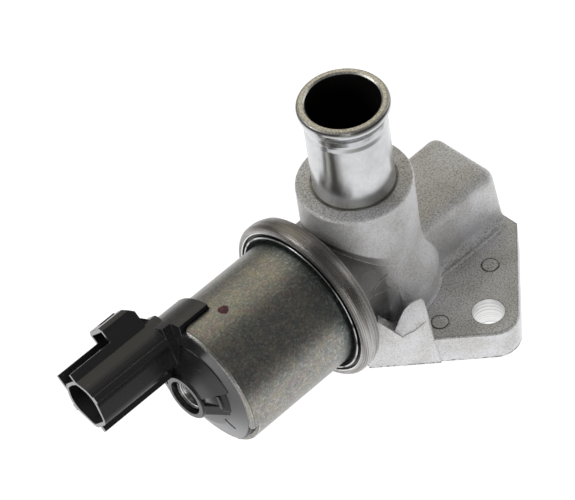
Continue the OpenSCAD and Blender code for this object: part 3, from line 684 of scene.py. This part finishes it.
nodeSlots = {
    "valve_housing": "cast_alloy",
    "hose_nipple": "bright_tube",
    "seat_ring": "brass",
    "poppet": "brass",
    "rod_clip": "spring_steel",
    "valve_rod": "ground_steel",
    "front_bush": "brass",
    "housing_o_ring": "seal_rubber",
    "base_plate": "soft_iron",
    "balance_spring": "spring_steel",
    "guide_sleeve": "brass",
    "coil_bobbin": "bobbin_plastic",
    "coil_winding": "magnet_wire",
    "armature": "soft_iron",
    "return_spring": "spring_steel",
    "pole_core": "soft_iron",
    "adjuster_screw": "soft_iron",
    "rear_yoke": "soft_iron",
    "solenoid_can": "plated_can",
    "can_collar": "bright_ring",
    "cap_seal": "seal_rubber",
    "connector_cap": "black_plastic",
    "terminal_left": "tinned_contact",
    "terminal_right": "tinned_contact",
}


def dressNodes():
    for name, slotName in nodeSlots.items():
        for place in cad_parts[name].material_slots:
            place.material = finishFor(slotName)


dressNodes()
print("nodes dressed")


def makePiece(name, shape, material, body, sharpAngle=35):
    bmesh.ops.recalc_face_normals(shape, faces=shape.faces)
    # that can leave a thin, curved shape inside out, and then its volume is below zero
    if shape.calc_volume(signed=True) < 0:
        bmesh.ops.reverse_faces(shape, faces=shape.faces)
    mesh = bpy.data.meshes.new(name)
    shape.to_mesh(mesh)
    shape.free()
    mesh.materials.append(material)
    mesh.shade_smooth()
    mesh.set_sharp_from_angle(angle=math.radians(sharpAngle))
    piece = bpy.data.objects.new(name, mesh)
    bpy.context.scene.collection.objects.link(piece)
    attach(piece, body)


# the vertices that an operator has just made
def newVerts(made):
    return [vert for vert in made if isinstance(vert, bmesh.types.BMVert)]


# the edges of a closed ring through some vertices
def ringEdges(shape, verts):
    return [shape.edges.new(pair) for pair in zip(verts, verts[1:] + verts[:1])]


# a bar through some rings, closed at both ends
def bridgeRings(shape, rings):
    for first, second in zip(rings, rings[1:]):
        bmesh.ops.bridge_loops(shape, edges=first + second)
    for rim in (rings[0], rings[-1]):
        bmesh.ops.edgeloop_fill(shape, edges=rim)


paint = {
    "x": 48.65 * mm,
    "radius": 19.0 * mm,
    "size": 1.42 * mm,
    "thick": 0.07 * mm,
    "profile": [(0, 1), (0.35, 0.96), (0.7, 0.9), (0.9, 0.6), (1, 0), (0.96, -1), (0.5, -1), (0, -1)],
    "waves": [(0.07, 3, 0.7), (0.04, 7, 0)],
    "steps": 36,
    "weld": 0.001 * mm,
    "depth": 0.04 * mm,
    "dark": (0.060, 0.010, 0.022),
    "light": (0.165, 0.030, 0.060),
}


# a dab of inspection paint on top of the can, laid round its surface
def makePaintDot():
    shape = bmesh.new()
    size, thick = paint["size"], paint["thick"]
    profile = [shape.verts.new((r * size, 0, z * thick)) for r, z in paint["profile"]]
    rims = [shape.edges.new(pair) for pair in zip(profile, profile[1:])]
    bmesh.ops.spin(shape, geom=profile + rims, axis=(0, 0, 1), cent=(0, 0, 0), angle=math.tau,
                   steps=paint["steps"], use_merge=True)
    bmesh.ops.remove_doubles(shape, verts=shape.verts, dist=paint["weld"])
    for vert in shape.verts:
        angle = math.atan2(vert.co.y, vert.co.x)
        ragged = 1 + sum(high * math.sin(count * angle + start) for high, count, start in paint["waves"])
        turn = vert.co.x * ragged / paint["radius"]
        out = paint["radius"] + vert.co.z
        along = paint["x"] + vert.co.y * ragged
        vert.co = (along, math.sin(turn) * out, axisHeight + math.cos(turn) * out)
    material, finish = makeMaterial("inspectionPaint")
    blot = finish.noise(1600, 3, 0.6)
    colour = finish.mix(finish.step(blot, 0.4, 0.62), paint["dark"], paint["light"])
    finish.surface(Base_Color=colour, Roughness=0.35 + blot * 0.2, Normal=finish.bump(blot, paint["depth"]))
    makePiece("paintDot", shape, material, "valve_body")


makePaintDot()
print("paint dot laid")

pins = {
    "rise": 0.12 * mm,
    "sink": 0.1 * mm,
    "edge": 0.05 * mm,
    "segments": 48,
}


# the ejector pins left two shallow raised pads on the flange
def makePinMarks():
    for letter, centre in zip("AB", cast["pinMarks"]):
        shape = bmesh.new()
        bmesh.ops.create_circle(shape, cap_ends=True, radius=cast["pinRadius"], segments=pins["segments"])
        top = newVerts(bmesh.ops.extrude_face_region(shape, geom=shape.faces[:])["geom"])
        bmesh.ops.translate(shape, verts=top, vec=(0, 0, pins["rise"] + pins["sink"]))
        rim = [edge for edge in shape.edges if all(vert in top for vert in edge.verts)]
        bmesh.ops.bevel(shape, geom=rim, offset=pins["edge"], segments=3, profile=0.5,
                        affect="EDGES", material=-1)
        foot = (centre[0] * mm, centre[1] * mm, flangeTop - pins["sink"])
        bmesh.ops.translate(shape, verts=shape.verts, vec=foot)
        makePiece("pinMark" + letter, shape, finishFor("cast_alloy"), "valve_body")


makePinMarks()
print("pin marks raised")

# outlines are stations along the solenoid and radii, angles are degrees from the connector
panel = {
    "slope": [(60.8, 6.6), (64.4, 6.6), (63.1, 8.6), (61.1, 11.9), (60.8, 11.9)],
    "slopeStart": -107,
    "slopeTurn": -34,
    "slopeEdge": 0.04 * mm,
    "crescent": [(61.0, 9.7), (62.75, 9.7), (62.55, 10.7), (61.0, 10.8)],
    "crescentStart": -110,
    "crescentTurn": -23,
    "crescentEdge": 0.12 * mm,
    "steps": 14,
    "crestAngle": 30,
}


# a slice of a turned shape, between two angles about the solenoid's axis
def makeSlice(name, outline, start, turn, edge, slotName):
    shape = bmesh.new()
    first = [shape.verts.new((x * mm, 0, r * mm)) for x, r in outline]
    face = shape.faces.new(first)
    around = bmesh.ops.spin(shape, geom=first + face.edges[:], axis=(1, 0, 0), cent=(0, 0, 0),
                            angle=math.radians(turn), steps=panel["steps"])
    shape.faces.new(newVerts(around["geom_last"]))
    bmesh.ops.recalc_face_normals(shape, faces=shape.faces)
    crest = [line for line in shape.edges if line.calc_face_angle(0) > math.radians(panel["crestAngle"])]
    bmesh.ops.bevel(shape, geom=crest, offset=edge, segments=2, profile=0.5, affect="EDGES", material=-1)
    turned = Matrix.Rotation(math.radians(connectorTurn + start), 3, "X")
    bmesh.ops.rotate(shape, verts=shape.verts, cent=(0, 0, 0), matrix=turned)
    bmesh.ops.translate(shape, verts=shape.verts, vec=(0, 0, axisHeight))
    makePiece(name, shape, finishFor(slotName), "valve_body")


# the panel between the boss's shoulder and its wedge, with the crescent on it
for name, part in (("footPanel", "slope"), ("footCrescent", "crescent")):
    start, turn, edge = panel[part + "Start"], panel[part + "Turn"], panel[part + "Edge"]
    makeSlice(name, panel[part], start, turn, edge, "black_plastic")
print("panel and crescent set")

ridge = {
    "start": (-7, 14.5),
    "end": (-37.5, 15.4),
    "lengths": 6,
    "wide": 0.85 * mm,
    "rise": 0.50 * mm,
    "sink": 0.15 * mm,
    "steps": 8,
    "endShare": 0.25,
}


# the low ridge that ends the fillet between outlet block and flange
def makeRidge():
    shape = bmesh.new()
    rings = []
    for count in range(ridge["lengths"] + 1):
        x, y = Vector(ridge["start"]).lerp(Vector(ridge["end"]), count / ridge["lengths"])
        share = ridge["endShare"] if count in (0, ridge["lengths"]) else 1
        height = ridge["rise"] * share + ridge["sink"]
        ring = []
        for step in range(ridge["steps"] + 1):
            turn = math.pi * step / ridge["steps"]
            across = math.cos(turn) * ridge["wide"] * share
            up = flangeTop - ridge["sink"] + math.sin(turn) * height
            ring.append(shape.verts.new((x * mm, y * mm + across, up)))
        rings.append(ringEdges(shape, ring))
    bridgeRings(shape, rings)
    makePiece("footRidge", shape, finishFor("cast_alloy"), "valve_body", 60)


makeRidge()
print("ridge laid")

# each line has the direction out of the casting there, and the corners that it runs through
flash = {
    "lines": {
        "barrelLine": ((0, 1, 0), [(14.3, 0, 24.4), (12, 0, 24.8), (9.4, 0, 26.5), (6.3, 0, 26.9),
                                   (5.5, 0, 24.7), (4.6, 0, 21.3)]),
        "flatLine": ((0, 1, 0), [(13.7, 0, 24.1), (8, 0, 21.9), (4.3, 0, 22.4)]),
        "toothLine": ((0.78, 0.6, 0.18), [(10.3, 22.7, 11.3), (8.2, 25, 13.1), (5.6, 27.3, 16.5)]),
    },
    "away": 20 * mm,
    "radius": 0.17 * mm,
    "between": 4,
    "sides": 8,
    "endShare": 0.35,
}


# points along the corners, each dropped on the casting from outside
def layOnCasting(corners, out):
    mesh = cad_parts["valve_housing"].data
    casting = BVHTree.FromPolygons([v.co for v in mesh.vertices], [face.vertices for face in mesh.polygons])
    points = [corners[0]]
    for first, second in zip(corners, corners[1:]):
        points += [first.lerp(second, (step + 1) / flash["between"]) for step in range(flash["between"])]
    return [casting.ray_cast(point + out * flash["away"], -out)[0] for point in points]


# the thin flash that the mould's joints left on the casting
def makeFlash(name, out, corners):
    out = Vector(out).normalized()
    path = layOnCasting([Vector(corner) * mm for corner in corners], out)
    shape = bmesh.new()
    rings = []
    for count, point in enumerate(path):
        before, after = path[max(count - 1, 0)], path[min(count + 1, len(path) - 1)]
        along = (after - before).normalized()
        side = along.cross(out).normalized()
        top = side.cross(along)
        radius = flash["radius"] * (flash["endShare"] if count in (0, len(path) - 1) else 1)
        ring = []
        for step in range(flash["sides"]):
            turn = math.tau * step / flash["sides"]
            spot = point + side * math.cos(turn) * radius + top * math.sin(turn) * radius
            ring.append(shape.verts.new(spot))
        rings.append(ringEdges(shape, ring))
    bridgeRings(shape, rings)
    makePiece(name, shape, finishFor("cast_alloy"), "valve_body", 60)


for name, (out, corners) in flash["lines"].items():
    makeFlash(name, out, corners)
print("flash laid")

thread = {
    "mouth": 64.3 * mm,
    "radius": 4.03 * mm,
    "depth": 0.42 * mm,
    "half": 0.17 * mm,
    "pitch": 0.5 * mm,
    "turns": 3,
    "steps": 48,
}


# the spigot's inner thread, a ridge wound round the adjusting screw's bore
def makeThread():
    shape = bmesh.new()
    half, wall = thread["half"], thread["radius"]
    low = thread["mouth"] - half - thread["pitch"] * thread["turns"]
    corners = [(low - half, wall), (low, wall - thread["depth"]), (low + half, wall)]
    first = [shape.verts.new((x, 0, axisHeight + r)) for x, r in corners]
    face = shape.faces.new(first)
    advance = (thread["pitch"] / thread["steps"], 0, 0)
    around = bmesh.ops.spin(shape, geom=first + face.edges[:], axis=(1, 0, 0), cent=(0, 0, axisHeight),
                            dvec=advance, angle=math.tau * thread["turns"],
                            steps=thread["steps"] * thread["turns"], use_duplicate=False)
    shape.faces.new(newVerts(around["geom_last"]))
    makePiece("spigotThread", shape, finishFor("ground_steel"), "valve_body")


makeThread()
print("thread wound")
